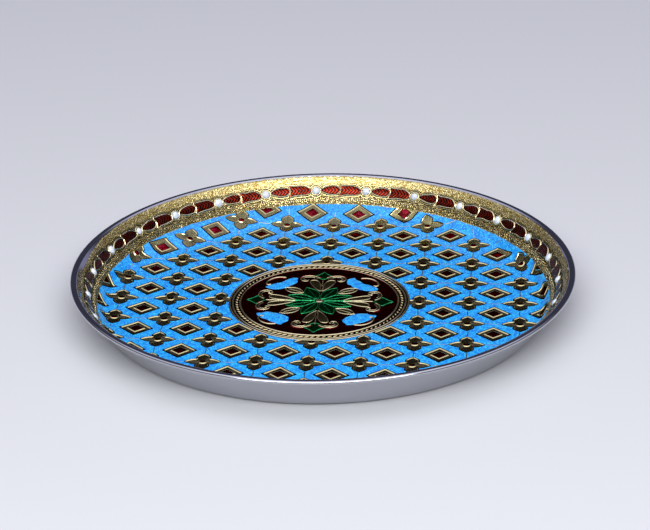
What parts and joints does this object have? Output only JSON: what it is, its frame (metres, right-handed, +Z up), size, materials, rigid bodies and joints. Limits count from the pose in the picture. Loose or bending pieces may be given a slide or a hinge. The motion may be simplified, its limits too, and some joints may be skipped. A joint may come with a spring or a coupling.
{
  "type": "plate",
  "caption": "Round pressed-steel serving plate with a leaning wall and hemmed lip, lined with embossed gold foil and coloured enamel.",
  "frame": {"origin": "centre of the flat underside, on the table", "axes": "+Z up along the plate's axis; +X to the right and +Y away from the viewer of the pictured side; the floor pattern is turned by about 5 degrees clockwise from +X"},
  "size_m": [0.254, 0.254, 0.0198],
  "materials": {
    "polished_steel": "mirror polished stainless sheet",
    "gold_foil": "embossed gold-coloured foil",
    "blue_enamel": "glossy cold enamel with fine glitter",
    "maroon_enamel": "glossy cold enamel",
    "green_enamel": "glossy translucent cold enamel",
    "red_enamel": "glossy translucent cold enamel over hatched foil",
    "white_enamel": "glossy raised enamel"
  },
  "bodies": {
    "root": {"steel_plate": "polished_steel", "floor_foil": "gold_foil", "wall_band_foil": "gold_foil", "blue_ground_enamel": "blue_enamel", "maroon_ground_enamel": "maroon_enamel", "green_star_enamel": "green_enamel", "green_bud_enamel_1": "green_enamel", "green_bud_enamel_2": "green_enamel", "green_bud_enamel_3": "green_enamel", "green_bud_enamel_4": "green_enamel", "blue_cloud_enamel_1": "blue_enamel", "blue_cloud_enamel_2": "blue_enamel", "blue_cloud_enamel_3": "blue_enamel", "blue_cloud_enamel_4": "blue_enamel", "red_garland_enamel": "red_enamel", "white_drop_enamel_01": "white_enamel", "white_drop_enamel_02": "white_enamel", "white_drop_enamel_03": "white_enamel", "white_drop_enamel_04": "white_enamel", "white_drop_enamel_05": "white_enamel", "white_drop_enamel_06": "white_enamel", "white_drop_enamel_07": "white_enamel", "white_drop_enamel_08": "white_enamel", "white_drop_enamel_09": "white_enamel", "white_drop_enamel_10": "white_enamel", "white_drop_enamel_11": "white_enamel", "white_drop_enamel_12": "white_enamel", "white_drop_enamel_13": "white_enamel", "white_drop_enamel_14": "white_enamel", "white_drop_enamel_15": "white_enamel", "white_drop_enamel_16": "white_enamel", "white_drop_enamel_17": "white_enamel", "white_drop_enamel_18": "white_enamel", "white_drop_enamel_19": "white_enamel", "white_drop_enamel_20": "white_enamel", "white_drop_enamel_21": "white_enamel", "white_drop_enamel_22": "white_enamel", "white_drop_enamel_23": "white_enamel", "white_drop_enamel_24": "white_enamel", "white_drop_enamel_25": "white_enamel", "white_drop_enamel_26": "white_enamel", "white_drop_enamel_27": "white_enamel"}
  },
  "joints": []
}
